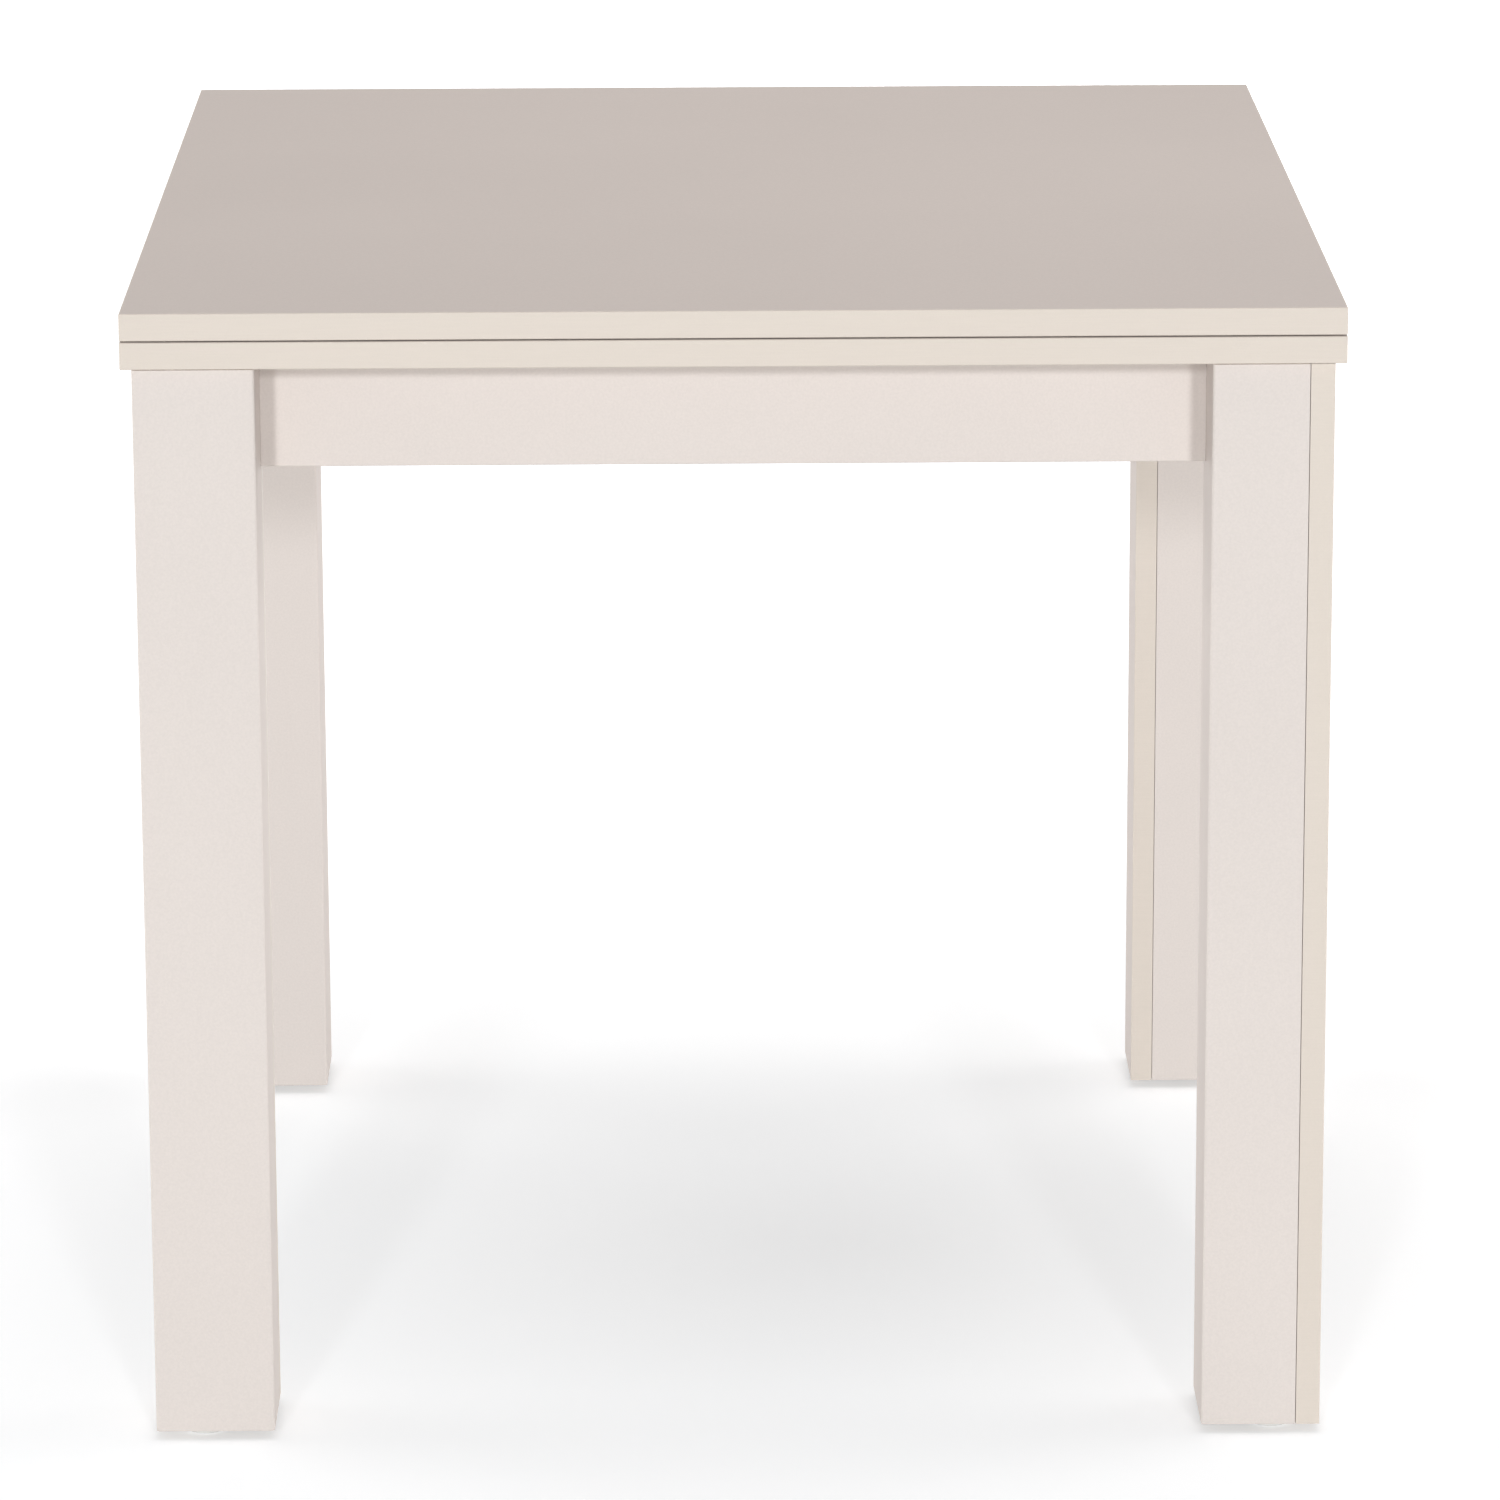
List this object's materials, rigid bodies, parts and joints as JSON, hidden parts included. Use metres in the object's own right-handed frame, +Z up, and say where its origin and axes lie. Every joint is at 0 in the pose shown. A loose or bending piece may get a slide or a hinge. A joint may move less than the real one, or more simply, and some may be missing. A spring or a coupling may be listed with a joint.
{
  "type": "extending table",
  "caption": "Square-legged dining table with two stacked leaves: the top turns a quarter turn on an off-centre pivot and folds open to twice its size.",
  "frame": {"origin": "on the floor, under the middle of the closed top", "axes": "+Z up, front towards -Y, +X to the right as seen from the front; the leaves are hinged along the left edge"},
  "size_m": [0.8025, 0.9, 0.775],
  "materials": {
    "melamine": "matt warm grey melamine on board",
    "edging": "satin edge band, slightly creamier than the board",
    "softwood": "plain planed softwood",
    "zinc_steel": "bright zinc plate",
    "hinge_nickel": "satin nickel plate",
    "nylon": "natural nylon",
    "felt": "pressed grey felt",
    "glide": "white moulded plastic",
    "bumper": "translucent soft dot"
  },
  "bodies": {
    "frame": {"front_apron": "melamine", "front_cleat": "softwood", "front_left_corner_plate": "zinc_steel", "front_left_leg_cover": "melamine", "front_left_leg_foot_block": "softwood", "front_left_leg_shell": "melamine", "front_left_leg_top_block": "softwood", "front_right_corner_plate": "zinc_steel", "front_right_leg_cover": "melamine", "front_right_leg_foot_block": "softwood", "front_right_leg_shell": "melamine", "front_right_leg_top_block": "softwood", "hanger_bolts": "zinc_steel", "hanger_nuts": "zinc_steel", "left_apron": "melamine", "leg_cover_edging": "edging", "leg_glides": "glide", "pivot_board": "melamine", "pivot_bush": "nylon", "rear_apron": "melamine", "rear_cleat": "softwood", "rear_left_corner_plate": "zinc_steel", "rear_left_leg_cover": "melamine", "rear_left_leg_foot_block": "softwood", "rear_left_leg_shell": "melamine", "rear_left_leg_top_block": "softwood", "rear_right_corner_plate": "zinc_steel", "rear_right_leg_cover": "melamine", "rear_right_leg_foot_block": "softwood", "rear_right_leg_shell": "melamine", "rear_right_leg_top_block": "softwood", "right_apron": "melamine", "slide_pads": "felt", "stop_screw": "zinc_steel"},
    "lower_leaf": {"front_hinge_lower_plate": "hinge_nickel", "hinge_pins": "hinge_nickel", "leaf_bumpers": "bumper", "lower_leaf_board": "melamine", "lower_leaf_edging": "edging", "middle_hinge_lower_plate": "hinge_nickel", "pivot_locknut": "zinc_steel", "pivot_washer": "zinc_steel", "rear_hinge_lower_plate": "hinge_nickel", "swivel_plate": "zinc_steel"},
    "upper_leaf": {"front_hinge_upper_plate": "hinge_nickel", "middle_hinge_upper_plate": "hinge_nickel", "rear_hinge_upper_plate": "hinge_nickel", "upper_leaf_board": "melamine", "upper_leaf_edging": "edging"}
  },
  "joints": [
    {"name": "top_swivel", "type": "hinge", "parent": "frame", "child": "lower_leaf", "pos_m": [-0.20025, 0.20025, 0.738], "axis": [0, 0, 1], "range_deg": [0, 90]},
    {"name": "leaf_fold", "type": "hinge", "parent": "lower_leaf", "child": "upper_leaf", "pos_m": [-0.4005, 0, 0.7565], "axis": [0, -1, 0], "range_deg": [0, 180]}
  ]
}
